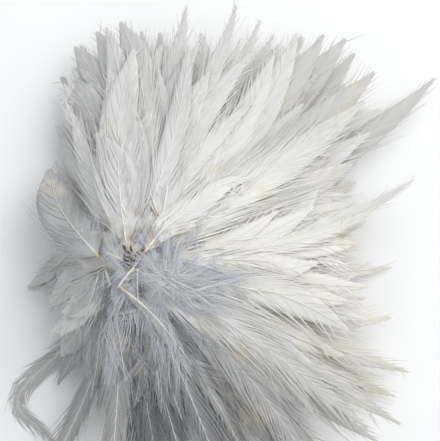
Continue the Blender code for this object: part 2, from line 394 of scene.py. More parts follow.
def inner_path(host, turn, share, lift, flatten, bow, most):
    """A shorter path beside a long feather's: turned about the core, cut short and lifted.

    Flatten scales its heights, bow swings its tip aside as a share of its reach, and most is
    the furthest that it goes from the core's axis.
    """
    flat = host.points[:, :2] - AXIS
    out = np.linalg.norm(flat, axis=1)
    azimuth = np.arctan2(flat[:, 1], flat[:, 0])
    reach = min(out[-1] * share, most)
    new_out = np.linspace(out[0], reach, SAMPLES)
    rising = np.maximum.accumulate(out + np.arange(SAMPLES) * 1e-9)
    new_azimuth = np.interp(new_out, rising, np.unwrap(azimuth)) + turn
    new_azimuth += bow * ((new_out - out[0]) / (reach - out[0])) ** 2
    height = np.interp(new_out, rising, host.points[:, 2]) * flatten + lift
    x = AXIS[0] + new_out * np.cos(new_azimuth)
    y = AXIS[1] + new_out * np.sin(new_azimuth)
    tilt = np.interp(new_out, rising, host.tilt) * flatten
    return Path(np.stack((x, y, height), axis=1), tilt, np.zeros(SAMPLES), host.half_width)


class Slope:
    """The height of the bunch's upper side, by azimuth and distance from the core's axis."""

    AZIMUTHS = 72
    DEGREES = 360 / AZIMUTHS
    STEPS = 55
    STEP = 2.0 * MM

    def __init__(self, paths):
        heights = np.full((self.AZIMUTHS, self.STEPS), np.nan)
        for path in paths:
            flat = path.points[:, :2] - AXIS
            out = np.linalg.norm(flat, axis=1)
            turn = np.degrees(np.arctan2(flat[:, 1], flat[:, 0]))
            for distance, azimuth, height in zip(out, turn, path.points[:, 2]):
                column = int(distance / self.STEP)
                if column >= self.STEPS:
                    continue
                spread = math.degrees(path.half_width * 0.8 / max(distance, 4 * MM))
                first = int((azimuth - spread) // self.DEGREES)
                last = int((azimuth + spread) // self.DEGREES)
                for row in range(first, last + 1):
                    row %= self.AZIMUTHS
                    heights[row, column] = np.fmax(heights[row, column], height)
        for column in range(self.STEPS):
            known = heights[:, column][~np.isnan(heights[:, column])]
            if column > self.STEPS / 3:
                fallback = heights[:, column - 1]
            else:
                fallback = known.mean() if len(known) else CAD_BOX[1][2]
            heights[:, column] = np.where(np.isnan(heights[:, column]), fallback, heights[:, column])
        for _ in range(2):
            heights = (np.roll(heights, 1, axis=0) + 2 * heights + np.roll(heights, -1, axis=0)) / 4
        self.heights = heights

    def at(self, flat):
        """The height over points measured from the core's axis."""
        out = np.linalg.norm(flat, axis=1) / self.STEP - 0.5
        turn = np.degrees(np.arctan2(flat[:, 1], flat[:, 0])) / self.DEGREES % self.AZIMUTHS
        low_out = np.clip(np.floor(out).astype(int), 0, self.STEPS - 2)
        share_out = np.clip(out - low_out, 0, 1)
        low_turn = np.floor(turn).astype(int) % self.AZIMUTHS
        next_turn = (low_turn + 1) % self.AZIMUTHS
        share_turn = turn - np.floor(turn)
        low = self.heights[low_turn, low_out] * (1 - share_turn)
        low += self.heights[next_turn, low_out] * share_turn
        high = self.heights[low_turn, low_out + 1] * (1 - share_turn)
        high += self.heights[next_turn, low_out + 1] * share_turn
        return low * (1 - share_out) + high * share_out


@functools.cache
def upper_side():
    """The slope that the long feathers make."""
    return Slope([path_of(name) for name in LONG_FEATHERS])


def loose_path(loose):
    """The path of a loose feather, on the long feathers' upper side."""
    slope = upper_side()
    corners = np.array(loose.points) * MM
    at = run_along(corners)
    flat = smooth_between(at, corners, np.linspace(0.0, at[-1], SAMPLES))
    ahead = np.gradient(flat, axis=0)
    aside = np.stack((-ahead[:, 1], ahead[:, 0]), axis=1)
    aside /= np.linalg.norm(aside, axis=1)[:, None]
    tilt = (slope.at(flat + aside * BESIDE) - slope.at(flat - aside * BESIDE)) / (2 * BESIDE)
    height = slope.at(flat) + np.linspace(*loose.lift, SAMPLES) * MM
    soft = np.ones(SMOOTHED) / SMOOTHED
    height, tilt = (
        np.convolve(np.pad(values, SMOOTHED // 2, mode="edge"), soft, mode="valid")
        for values in (height, tilt)
    )
    points = np.column_stack((flat + AXIS, height))
    return Path(points, np.clip(tilt, -MOST_TILT, MOST_TILT), np.zeros(SAMPLES), loose.half_width * MM)


# Building node trees


class Value:
    """An output of a node. Values add, multiply and so on like numbers, by new math nodes."""

    def __init__(self, nodes, socket):
        self.nodes = nodes
        self.socket = socket

    def __add__(self, other):
        return self.nodes.math("ADD", self, other)

    def __sub__(self, other):
        return self.nodes.math("SUBTRACT", self, other)

    def __rsub__(self, other):
        return self.nodes.math("SUBTRACT", other, self)

    def __mul__(self, other):
        return self.nodes.math("MULTIPLY", self, other)

    def __truediv__(self, other):
        return self.nodes.math("DIVIDE", self, other)

    def __pow__(self, other):
        return self.nodes.math("POWER", self, other)

    __radd__ = __add__
    __rmul__ = __mul__


class Nodes:
    """A node tree in the making."""

    def __init__(self, tree):
        self.tree = tree

    def node(self, kind, values=None, **settings):
        """A new node. Values gives its inputs, as values to link or as plain numbers."""
        made = self.tree.nodes.new(kind)
        for setting, value in settings.items():
            setattr(made, setting, value)
        for name, value in (values or {}).items():
            self.give(made, name, value)
        return made

    def give(self, made, name, value):
        if isinstance(value, Value):
            self.tree.links.new(value.socket, made.inputs[name])
        else:
            made.inputs[name].default_value = value

    def out(self, kind, values=None, output=0, **settings):
        """One output of a new node."""
        return Value(self, self.node(kind, values, **settings).outputs[output])

    def math(self, operation, *values):
        return self.out("ShaderNodeMath", dict(enumerate(values)), operation=operation)

    def vector(self, x, y, z):
        return self.out("ShaderNodeCombineXYZ", {"X": x, "Y": y, "Z": z})


class Tree(Nodes):
    """A Geometry Nodes tree in the making, with named inputs and one output."""

    def __init__(self, name, inputs, materials):
        """Inputs are given with their defaults, and None for geometry."""
        super().__init__(bpy.data.node_groups.new(name, "GeometryNodeTree"))
        self.tree.interface.new_socket("Geometry", in_out="OUTPUT", socket_type="NodeSocketGeometry")
        kinds = {type(None): "Geometry", int: "Int", float: "Float"}
        for key, default in inputs.items():
            made = self.add_input(key, kinds[type(default)])
            if default is not None:
                made.default_value = default
        for key in materials:
            self.add_input(key, "Material")
        self.inputs = self.tree.nodes.new("NodeGroupInput")

    def add_input(self, name, kind):
        return self.tree.interface.new_socket(name, in_out="INPUT", socket_type="NodeSocket" + kind)

    def __getitem__(self, name):
        """The tree's input with this name."""
        return Value(self, self.inputs.outputs[name])

    def random(self, low, high, which, seed_step):
        """A random number for each element, the same on every run."""
        values = {2: low, 3: high, "ID": which, "Seed": self["Seed"] + seed_step}
        return self.out("FunctionNodeRandomValue", values, 1, data_type="FLOAT")

    def store(self, geometry, kind="FLOAT", **values):
        """Stores each value as an attribute with its name."""
        for name, value in values.items():
            inputs = {"Geometry": geometry, "Name": name, "Value": value}
            geometry = self.out(
                "GeometryNodeStoreNamedAttribute", inputs, data_type=kind, domain="POINT"
            )
        return geometry

    def stored(self, name):
        return self.out("GeometryNodeInputNamedAttribute", {"Name": name}, data_type="FLOAT")

    def line(self, start, end, points):
        """A straight curve with evenly spaced points."""
        line = self.out("GeometryNodeCurvePrimitiveLine", {"Start": start, "End": end})
        return self.out("GeometryNodeResampleCurve", {"Curve": line, "Count": points})

    def share_along(self):
        """How far each point is along its own curve, from 0 to 1."""
        return self.out("GeometryNodeSplineParameter", output="Factor")

    def copies(self, curve, amount):
        """Copies of a curve, and each one's number."""
        values = {"Geometry": curve, "Amount": amount}
        made = self.node("GeometryNodeDuplicateElements", values, domain="SPLINE")
        return Value(self, made.outputs[0]), Value(self, made.outputs[1])

    def strands(self, amount, points):
        """Straight curves of unit length along X, as many as amount, and each one's number."""
        return self.copies(self.line((0, 0, 0), (1, 0, 0), points), amount)

    def moved(self, geometry, position):
        return self.out("GeometryNodeSetPosition", {"Geometry": geometry, "Position": position})

    def shifted(self, geometry, offset):
        return self.out("GeometryNodeSetPosition", {"Geometry": geometry, "Offset": offset})

    def profile(self, sides, half_width, height):
        """A closed outline that Curve to Mesh sweeps, with one corner on top."""
        circle = self.out("GeometryNodeCurvePrimitiveCircle", {"Resolution": sides, "Radius": 1.0})
        size = self.vector(height, half_width, 1.0)
        values = {"Geometry": circle, "Rotation": (0, 0, -math.pi / 2), "Scale": size}
        return self.out("GeometryNodeTransform", values)

    def sweep(self, curve, profile, taper, smooth=True):
        """Sweeps the profile along each curve to a closed tube, scaled by taper."""
        upright = self.out("GeometryNodeSetCurveNormal", {"Curve": curve}, mode="Z_UP")
        values = {"Curve": upright, "Profile Curve": profile, "Scale": taper, "Fill Caps": True}
        swept = self.out("GeometryNodeCurveToMesh", values)
        return self.out("GeometryNodeSetShadeSmooth", {"Geometry": swept, "Shade Smooth": smooth})

    def float_curve(self, value, points):
        made = self.node("ShaderNodeFloatCurve", {"Value": value})
        drawn = made.mapping.curves[0].points
        while len(drawn) < len(points):
            drawn.new(0.5, 0.5)
        for knot, (x, y) in zip(drawn, points):
            knot.location = (x, y)
        made.mapping.update()
        return Value(self, made.outputs[0])

    def finish(self, parts, materials, kept=()):
        """Joins the parts, realizes them and gives each its material by the part attribute.

        The inputs named in kept become attributes, and so does each corner's straight place.
        """
        joined = self.node("GeometryNodeJoinGeometry")
        for number, part in enumerate(parts):
            self.give(joined, 0, self.store(part, part=float(number)))
        straight = self.out("GeometryNodeInputPosition")
        last = self.store(Value(self, joined.outputs[0]), "FLOAT_VECTOR", straight=straight)
        for name in kept:
            last = self.store(last, **{name.lower(): self[name]})
        last = self.out("GeometryNodeRealizeInstances", {"Geometry": last})
        for number, material in enumerate(materials):
            values = {"Geometry": last, "Material": self[material]}
            if number:
                values["Selection"] = self.math("COMPARE", self.stored("part"), float(number), 0.5)
            last = self.out("GeometryNodeSetMaterial", values)
        self.give(self.tree.nodes.new("NodeGroupOutput"), 0, last)
        return self.tree


def vane_barbs(tree):
    """The barbs of both vanes, each rooted on the shaft and leaning to the tip, in loose groups."""
    strands, number = tree.strands(tree["Barbs"] * 2.0, tree["Barb Points"])
    share = tree.share_along()
    side = tree.math("MODULO", number, 2.0) * 2.0 - 1.0
    place = (tree.math("FLOOR", number / 2.0) + tree.random(0.1, 0.9, number, 1.0)) / tree["Barbs"]
    start = tree["Vane Start"]
    station = start + (1.0 - start) * place
    reach = tree["Half Width"] * tree.float_curve(station, VANE_OUTLINE)

    # Barbs that cling together share one group number, and the groups part from each other
    counted = station * tree["Groups"] + tree.math("SINE", station * 23.0) * 0.45
    group = tree.math("FLOOR", counted + side * 0.31)
    group_id = group * 2.0 + side
    shift = tree.random(-1.0, 1.0, group_id, 7.0)
    cut = tree.random(0.0, 1.0, group_id, 11.0)
    stray = tree.random(0.0, 1.0, number, 3.0) ** 5.0
    full = 1.0 - tree["Ragged"] * cut**2.0 - 0.14 * tree.random(0.0, 1.0, number, 5.0)
    full = full + 0.3 * tree.random(0.0, 1.0, number, 6.0) ** 4.0

    # Every barb leaves the shaft steeply and bends to the tip
    bend = BARB_BEND * (share * (1.0 - share))
    tip = tree["Length"] * station
    run = tree.math("MINIMUM", reach * tree["Lean"], tree["Length"] * (1.02 - station) * 2.2)
    run = tree.math("MAXIMUM", run, reach * 0.9)
    run = tree.math("MINIMUM", run, tip * 0.8)
    loose = share * share
    parting = tree["Split"] * shift * loose
    frizz = tree["Frizz"] * loose * stray
    forward = tip - run + run * full * (share - bend) + parting
    forward = forward + frizz * tree.random(-1.0, 1.0, number, 13.0)
    out = reach * full * (share + bend) + frizz * 0.5 + parting * 0.5
    height = tree["Split"] * 0.22 * tree.random(-1.0, 1.0, group_id, 17.0) * share
    height = height + frizz * 0.3 * tree.random(-0.6, 1.0, number, 19.0) + tree["Shaft Radius"] * 0.2
    strands = tree.store(
        strands,
        barb_along=share,
        barb_pick=tree.random(0.0, 1.0, number, 23.0),
        group_pick=tree.random(0.0, 1.0, group_id, 29.0),
    )
    strands = tree.moved(strands, tree.vector(forward, side * out, height))
    profile = tree.profile(3, tree["Barb Width"], tree["Barb Width"] * 0.06)
    return tree.sweep(strands, profile, 1.0 - 0.9 * share**2.2, smooth=False)


def vane_web(tree):
    """The closed web that the barbs make together, as one thin sheet just under them."""
    first = tree["Vane Start"]
    start = tree.vector(tree["Length"] * first, 0.0, 0.0)
    end = tree.vector(tree["Length"] * WEB_END, 0.0, 0.0)
    curve = tree.line(start, end, tree["Shaft Points"])
    later = 1.0 - (1.0 - tree.share_along()) ** 1.5

    # The share along the curve changes when its points move, so the station is stored before
    curve = tree.store(curve, station=first + (WEB_END - first) * later)
    station = tree.stored("station")
    curve = tree.moved(curve, tree.vector(tree["Length"] * station, 0.0, tree["Web Height"]))

    # The sheet is shaded like one barb a little past its middle
    curve = tree.store(curve, barb_along=0.6, barb_pick=0.6, group_pick=0.3)
    width = tree["Web"] * tree.float_curve(station, WEB_OUTLINE)
    return tree.sweep(curve, tree.profile(10, tree["Half Width"], WEB_THICK), width)


def base_down(tree):
    """The downy barbs at the foot of the vane: soft, curling and free of each other."""
    strands, number = tree.strands(tree["Down Barbs"], tree["Down Points"])
    share = tree.share_along()
    side = tree.math("MODULO", number, 2.0) * 2.0 - 1.0
    start = tree["Length"] * tree.random(0.04, 0.34, number, 31.0)
    size = tree["Down Length"] * tree.random(0.45, 1.0, number, 37.0)
    lean = tree.random(0.35, 1.25, number, 41.0)
    lift = tree.random(-0.25, 0.6, number, 43.0)
    curl = tree.random(-0.5, 0.5, number, 47.0)
    square = share * share
    phase = number * 1.7
    wave = 0.05 * share * tree.math("SINE", share * 9.0 + phase)
    drift = 0.06 * share * tree.math("COSINE", share * 7.0 + phase)
    forward = tree.math("COSINE", lean) * share + curl * square + wave
    out = side * (tree.math("SINE", lean) * share - 0.18 * square) + drift
    height = lift * share * (1.15 - share) + wave
    strands = tree.store(strands, barb_along=share, barb_pick=tree.random(0.0, 1.0, number, 53.0))
    strands = tree.moved(strands, tree.vector(start + size * forward, size * out, size * height))
    thin = tree["Down Radius"]
    return tree.sweep(strands, tree.profile(3, thin, thin), 1.0 - 0.75 * share)


def shaft(tree):
    """The shaft from the quill's butt to the tip, tapering all the way."""
    curve = tree.line((0, 0, 0), tree.vector(tree["Length"], 0.0, 0.0), tree["Shaft Points"])
    share = tree.share_along()
    thick = tree["Shaft Radius"]
    curve = tree.store(curve, barb_along=share)
    curve = tree.shifted(curve, tree.vector(0.0, 0.0, thick * 0.45))
    return tree.sweep(curve, tree.profile(6, thick, thick), 1.0 - 0.86 * share**0.8)


def feather_tree():
    """One straight feather along X, its quill's butt at the origin."""
    inputs = {
        "Length": 0.15,
        "Half Width": 0.007,
        "Barbs": 120,
        "Barb Points": 4,
        "Web": 0.62,
        "Web Height": -0.00012,
        "Barb Width": 0.0004,
        "Lean": 1.8,
        "Groups": 14.0,
        "Split": 0.0015,
        "Ragged": 0.25,
        "Frizz": 0.008,
        "Vane Start": 0.1,
        "Down Barbs": 60,
        "Down Points": 5,
        "Down Length": 0.012,
        "Down Radius": 0.00007,
        "Shaft Radius": 0.0005,
        "Shaft Points": 26,
        # Painted shade, and cream that is partly painted warm light, which the vane's material reads
        "Grey": 0.0,
        "Cream": 0.0,
        "Seed": 1,
    }
    tree = Tree("goose feather", inputs, ("Vane Material", "Down Material", "Shaft Material"))
    parts = [vane_barbs(tree), base_down(tree), shaft(tree), vane_web(tree)]
    materials = ("Vane Material", "Down Material", "Shaft Material", "Vane Material")
    return tree.finish(parts, materials, ("Grey", "Cream"))


def grow(tree, name, values, start=None):
    """Runs a tree once with these inputs, on a starting mesh if it has one, to a plain mesh."""
    holder = bpy.data.objects.new(name, start or bpy.data.meshes.new(name))
    bpy.context.scene.collection.objects.link(holder)
    modifier = holder.modifiers.new("grow", "NODES")
    modifier.node_group = tree
    sockets = {item.name: item.identifier for item in tree.interface.items_tree if item.in_out == "INPUT"}
    for key, value in values.items():
        modifier[sockets[key]] = value
    ready = holder.evaluated_get(bpy.context.evaluated_depsgraph_get())
    mesh = bpy.data.meshes.new_from_object(ready)
    holder.modifiers.remove(modifier)
    old = holder.data
    bpy.data.objects.remove(holder)
    bpy.data.meshes.remove(old)
    return mesh


def corners_of(mesh):
    corners = np.empty(len(mesh.vertices) * 3, np.float32)
    mesh.vertices.foreach_get("co", corners)
    return corners.reshape(-1, 3).astype(float)


def place_corners(mesh, corners):
    mesh.vertices.foreach_set("co", corners.astype(np.float32).ravel())
    mesh.update()


def join_meshes(name, meshes):
    """One mesh that holds all the meshes given."""
    materials = []
    for mesh in meshes:
        materials += [material for material in mesh.materials if material not in materials]
    joined = bpy.data.meshes.new(name)
    for material in materials:
        joined.materials.append(material)
    shape = bmesh.new()
    for mesh in meshes:
        first = len(shape.faces)
        shape.from_mesh(mesh)
        shape.faces.ensure_lookup_table()
        own = [materials.index(material) for material in mesh.materials]
        for face in shape.faces[first:]:
            face.material_index = own[face.material_index]
    shape.to_mesh(joined)
    shape.free()
    for mesh in meshes:
        bpy.data.meshes.remove(mesh)
    return joined


def show(name, mesh):
    piece = bpy.data.objects.new(name, mesh)
    bpy.context.scene.collection.objects.link(piece)
    return piece


def show_piece(name, mesh, node):
    """Shows a finished piece, fixed to the bunch's one body in place of a CAD node."""
    piece = show(name, mesh)
    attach(piece, "root")
    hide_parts(node)


# Materials


class Surface(Nodes):
    """A material in the making, round its Principled shader."""

    def __init__(self, name):
        self.material = bpy.data.materials.new(name)
        self.material.use_nodes = True
        super().__init__(self.material.node_tree)
        self.shader = self.tree.nodes["Principled BSDF"]
        self.place = self.out("ShaderNodeTexCoord", output="Object")

    def attribute(self, name, output="Fac"):
        return self.out("ShaderNodeAttribute", output=output, attribute_name=name)

    def stretch(self, value, low, high, new_low, new_high):
        values = {"Value": value, "From Min": low, "From Max": high, "To Min": new_low, "To Max": new_high}
        return self.out("ShaderNodeMapRange", values)

    def noise(self, vector, scale, detail=2.0):
        values = {"Vector": vector, "Scale": scale, "Detail": detail}
        return self.out("ShaderNodeTexNoise", values, "Fac")

    def patches(self, scale, low, high, new_low, new_high):
        """Soft patches, which are noise in the object's space between two values."""
        return self.stretch(self.noise(self.place, scale), low, high, new_low, new_high)

    def mix(self, share, first, second):
        """Two colours mixed. Each is a value, or its red, green and blue."""
        first, second = (tone if isinstance(tone, Value) else (*tone, 1) for tone in (first, second))
        return self.out("ShaderNodeMix", {0: share, 6: first, 7: second}, 2, data_type="RGBA")

    def bump(self, height, strength, distance):
        values = {"Height": height, "Strength": strength, "Distance": distance}
        return self.out("ShaderNodeBump", values)

    def barb_space(self):
        """The feather's own straight coordinates, bent so that every barb runs along Y."""
        split = self.node("ShaderNodeSeparateXYZ", {"Vector": self.attribute("straight", "Vector")})
        x = Value(self, split.outputs["X"])
        y = Value(self, split.outputs["Y"])
        out = self.math("ABSOLUTE", y)
        steep = self.math("MULTIPLY_ADD", out, BARB_CURVE, BARB_SLANT)
        return self.vector(x - steep * out, y * 0.12, 0.0)

    def finish(self, inputs):
        """Gives the shader its inputs and returns the material."""
        for name, value in inputs.items():
            self.give(self.shader, name, value)
        return self.material


def vane_material(finish):
    """White vane: fine streaks along the barbs, painted brown shade round the quills, cream that is partly
    painted warm light, painted shade on the side away from the key light, warm stains, greyer roots.
    """
    surface = Surface("white goose vane")
    streaks = surface.noise(surface.barb_space(), 900.0, 3.0)
    pick = surface.attribute("barb_pick")
    centre = (AXIS[0] + CORE_SHADE_ASIDE[0] * MM, AXIS[1] + CORE_SHADE_ASIDE[1] * MM, CAD_BOX[1][2])
    core = surface.out("ShaderNodeVectorMath", {0: surface.place, 1: centre}, "Value", operation="DISTANCE")
    # Painted brown shade in the dark gaps between the quills round the core, in patches
    painted_core_shade = surface.stretch(core, *CORE_SHADE_EDGE, 0.9, 0.0) * surface.patches(110.0, 0.42, 0.62, 0.0, 1.0)
    # Cream: yellowed patches, and painted warm light on the feathers of the right side
    cream = surface.attribute("cream") * surface.patches(22.0, 0.3, 0.6, 0.3, 1.0)
    # Painted shade: a dark bluish tint, deepest on the lower and left sides away from the key light, streaked
    # along the barbs
    grey = surface.attribute("grey") * surface.stretch(streaks, 0.3, 0.7, 1.0, 0.7)
    stain = surface.patches(38.0, 0.60, 0.72, 0.0, 0.85) * surface.patches(260.0, 0.40, 0.62, 0.2, 1.0)
    layers = (
        (surface.attribute("group_pick") * 0.3, finish.shade),
        (surface.stretch(streaks, 0.35, 0.65, 0.55, 0.0), finish.streak),
        (painted_core_shade, finish.painted_core_shade),
        (cream, finish.cream),
        (grey, finish.grey),
        (stain, finish.stain),
        (surface.stretch(surface.attribute("barb_along"), 0.0, 0.35, 0.35, 0.0), finish.root),
    )
    tone = surface.mix(pick, finish.shade, finish.white)
    for share, colour in layers:
        tone = surface.mix(share, tone, colour)
    inputs = {
        "Base Color": tone,
        "Roughness": surface.stretch(pick, 0, 1, 0.5, 0.68),
        "Sheen Weight": 0.5,
        "Sheen Roughness": 0.5,
        "Specular IOR Level": 0.3,
        "Normal": surface.bump(streaks, 0.35, 0.0002),
    }
    return surface.finish(inputs)


def down_material(finish):
    """Down: matt, soft and a little cooler than the vanes."""
    surface = Surface("white goose down")
    tone = surface.mix(surface.attribute("barb_pick"), finish.down_shade, finish.down)
    tone = surface.mix(surface.patches(60.0, 0.40, 0.70, 0.0, 0.3), tone, finish.down_shade)
    inputs = {
        "Base Color": tone,
        "Roughness": 0.85,
        "Sheen Weight": 0.4,
        "Sheen Roughness": 0.5,
        "Specular IOR Level": 0.2,
    }
    return surface.finish(inputs)


def shaft_material(finish):
    """Horn of the shaft: waxy and cream, yellower and clearer at the butt."""
    surface = Surface("feather shaft")
    cloud = surface.patches(420.0, 0.3, 0.7, 0.0, 0.35)
    butt = surface.stretch(surface.attribute("barb_along"), 0.0, 0.07, 1.0, 0.0)
    inputs = {
        "Base Color": surface.mix(butt, surface.mix(cloud, finish.shaft, finish.white), finish.butt),
        "Roughness": surface.stretch(cloud, 0, 0.35, 0.28, 0.42),
        "Coat Weight": 0.25,
        "Coat Roughness": 0.25,
    }
    return surface.finish(inputs)


def thread_material(finish):
    """Undyed cotton: matt, with a fine grain of fibres."""
    surface = Surface("cotton thread")
    fibres = surface.noise(surface.place, 3000.0)
    inputs = {
        "Base Color": surface.mix(fibres, finish.thread, finish.white),
        "Roughness": 0.9,
        "Normal": surface.bump(fibres, 0.3, 0.0001),
    }
    return surface.finish(inputs)


def floor_material(tone):
    """A plain matt floor with a faint grain."""
    surface = Surface("pale floor")
    lighter = tuple(min(1.0, value * 1.02) for value in tone)
    inputs = {
        "Base Color": surface.mix(surface.patches(30.0, 0.3, 0.7, 0.0, 1.0), tone, lighter),
        "Roughness": 0.9,
        "Specular IOR Level": 0.1,
    }
    return surface.finish(inputs)


def material_named(name, make, finish):
    """The material of that name, made on its first use."""
    return bpy.data.materials.get(name) or make(finish)


def feather_materials(finish):
    return {
        "Vane Material": material_named("white goose vane", vane_material, finish),
        "Down Material": material_named("white goose down", down_material, finish),
        "Shaft Material": material_named("feather shaft", shaft_material, finish),
    }


def tree_named(name, make):
    return bpy.data.node_groups.get(name) or make()


# Sizes and colours that a user would change


def decimal(name, description, default, least=0.0, **kind):
    return bpy.props.FloatProperty(
        name=name, description=description, default=default, min=least, **kind
    )


def count(name, description, default, **limits):
    return bpy.props.IntProperty(name=name, description=description, default=default, min=0, **limits)


def tint(name, description, default):
    return bpy.props.FloatVectorProperty(
        name=name, description=description, default=default, subtype="COLOR", min=0.0, max=1.0
    )


LENGTH = {"unit": "LENGTH"}
SHARE = {"subtype": "FACTOR"}


class FeatherSizes(bpy.types.PropertyGroup):
    """How the feathers are built."""

    barb_gap: decimal(
        "Barb Gap", "Distance along the shaft from one barb to the next", 0.0018, 0.0006, **LENGTH
    )
    barb_width: decimal("Barb Width", "Half the width of one barb's ribbon", 0.00034, 0.0001, **LENGTH)
    lean: decimal("Lean", "How far a barb runs along the shaft for each unit it runs out", 4.5, 0.5)
    split: decimal("Split", "How far groups of barbs part at the vane's edge", 0.0009, **LENGTH)
    ragged: decimal(
        "Ragged Edge", "Share of the width that the most worn groups have lost", 0.25, max=0.8, **SHARE
    )
    shaft_radius: decimal("Shaft Radius", "Radius of the shaft at its thick end", 0.00052, 0.0002, **LENGTH)
    seed: count("Seed", "Starting number of everything random", 7)


class InnerSizes(bpy.types.PropertyGroup):
    """The shorter feathers and the down that fill the bunch."""

    per_feather: count("Short Feathers", "Short feathers laid beside each long one", 4, max=5)
    shortest: decimal(
        "Shortest", "Shortest reach, as a share of the long feather's", 0.48, 0.2, max=1.0, **SHARE
    )
    longest: decimal(
        "Longest", "Longest reach, as a share of the long feather's", 0.98, 0.2, max=1.0, **SHARE
    )
    down_barbs: count("Core Down", "Downy barbs spread round the core", 4000)
    down_length: decimal("Down Length", "Length of the longest downy barbs", 0.020, 0.002, **LENGTH)


class FeatherColours(bpy.types.PropertyGroup):
    """Colours of the feathers and the thread."""

    white: tint("Vane", "The lightest barbs", (0.82, 0.82, 0.805))
    shade: tint("Vane Shade", "The darkest barbs", (0.75, 0.745, 0.725))
    stain: tint("Stain", "The small warm stains", (0.72, 0.65, 0.53))
    root: tint("Barb Root", "The vane next to the shaft", (0.76, 0.77, 0.775))
    streak: tint("Vane Streak", "The fine lines between barbs", (0.69, 0.68, 0.66))
    # Cream: yellowing, and painted warm light on the right side
    cream: tint("Vane Cream", "Yellowed patches, and painted warm light on the right side", (0.80, 0.765, 0.67))
    # Painted shade for the feathers on the side away from the key light
    grey: tint("Vane Grey", "Painted shade on the side of the bunch away from the key light", (0.17, 0.175, 0.19))
    # Painted brown shade in the gaps round the quills
    painted_core_shade: tint("Painted Core Shade", "Painted brown shade in the gaps round the quills", (0.34, 0.27, 0.18))
    down: tint("Down", "The lightest down", (0.95, 0.955, 0.965))
    down_shade: tint("Down Shade", "The darkest down", (0.76, 0.78, 0.84))
    shaft: tint("Shaft", "The shaft's horn", (0.84, 0.82, 0.75))
    butt: tint("Quill Butt", "The clearer horn at the quill's end", (0.56, 0.44, 0.22))
    thread: tint("Thread", "The stringing thread", (0.70, 0.69, 0.64))


class StudioSettings(bpy.types.PropertyGroup):
    """The floor, the light and the camera."""

    elevation: decimal(
        "Camera Elevation", "How steeply the camera looks down", math.radians(78), subtype="ANGLE"
    )
    distance: decimal("Camera Distance", "From the camera to the point it looks at", 0.9, 0.2, **LENGTH)
    lens: decimal("Lens", "Focal length in millimetres on a 36 mm sensor", 148.8, 20.0)
    key_power: decimal("Key Light", "Power of the soft light from the upper right, in watts", 21.0)
    fill_power: decimal("Fill Light", "Power of the weak cool light from the left, in watts", 1.0)
    sky: decimal("Sky", "Strength of the light from all round", 0.66)
    floor: tint("Floor", "The plain floor", (0.96, 0.96, 0.955))


# The pieces


def feather_inputs(path, sizes, seed, coarse=1.0):
    """The tree's inputs for a feather on this path. Coarse makes bigger barbs, and fewer."""
    return {
        "Length": path.length,
        "Barbs": max(FEWEST_BARBS, round(path.length * VANE_PART / (sizes.barb_gap * coarse))),
        "Barb Width": sizes.barb_width * coarse,
        "Lean": sizes.lean,
        "Groups": 11.0 + seed % 7,
        "Split": sizes.split,
        "Ragged": sizes.ragged,
        "Shaft Radius": sizes.shaft_radius,
        "Seed": seed,
    }


def azimuth_of(path):
    """The direction from a feather's butt to its tip, seen from above, in degrees."""
    reach = path.points[-1, :2] - path.points[0, :2]
    return math.degrees(math.atan2(reach[1], reach[0]))


def points_to(path, side):
    return side[0] < azimuth_of(path) < side[1]


def painted_shade_cream_and_web(path, dice):
    """How a feather is tinted by its direction: its painted shade, its cream, which is partly painted warm
    light, and how closed its web is.
    """
    shaded, warm, left = (
        max(0.0, math.cos(math.radians(azimuth_of(path) - azimuth)))
        for azimuth in (DEEPEST_SHADE_AZIMUTH, WARM_LIGHT_AZIMUTH, LEFT_SHADE_AZIMUTH)
    )
    # Painted shade, deepest on the lower side and a little on the left, away from the key light
    grey = shaded**4 * dice.uniform(0.95, 1.35) + left * dice.uniform(0.18, 0.42)
    # Cream: a little yellowing on every feather, and painted warm light on the right side
    cream = 0.1 + warm * dice.uniform(0.1, 0.8)
    return {"Grey": grey, "Cream": cream, "Web": 0.7 + 0.13 * left - 0.28 * shaded}


def laid_feather(name, path, inputs, dice):
    """Grows a feather, lays it along the path and returns its mesh."""
    mesh = grow(tree_named("goose feather", feather_tree), name, inputs)
    roll = dice.uniform(-ROLL, ROLL)
    camber = dice.uniform(*CAMBER)
    place_corners(mesh, path.lay(corners_of(mesh), roll, camber))
    return mesh


class FEATHERS_OT_long(bpy.types.Operator):
    """Build the long feathers, one for each feather of the frame"""

    bl_idname = "feathers.long"
    bl_label = "Long Feathers"

    def execute(self, context):
        sizes = context.scene.feather_sizes
        materials = feather_materials(context.scene.feather_colours)
        for number, node in enumerate(LONG_FEATHERS):
            dice = random.Random(sizes.seed * 1000 + number)
            path = path_of(node)
            inputs = feather_inputs(path, sizes, sizes.seed * 100 + number)
            wider = dice.uniform(*LONG_WIDER)
            inputs.update(painted_shade_cream_and_web(path, dice))
            if node == BENT_FEATHER:
                inputs.update(BENT)
            elif points_to(path, STRUT_SIDE):
                wider *= STRUT_WIDER
                inputs.update(STRUT)
            elif points_to(path, OPEN_SIDE):
                wider *= OPEN_WIDER
            elif path.length > STRAP_LENGTH:
                wider *= STRAP_WIDER
                inputs.update(STRAP)
            inputs["Half Width"] = path.half_width * wider
            inputs["Split"] = sizes.split * dice.uniform(0.5, 1.6)
            inputs["Ragged"] = sizes.ragged * dice.uniform(0.4, 1.8)
            inputs.update(LONG | materials)
            mesh = laid_feather(node + "_vane", path, inputs, dice)
            show_piece(node + "_vane", mesh, node)
        return {"FINISHED"}


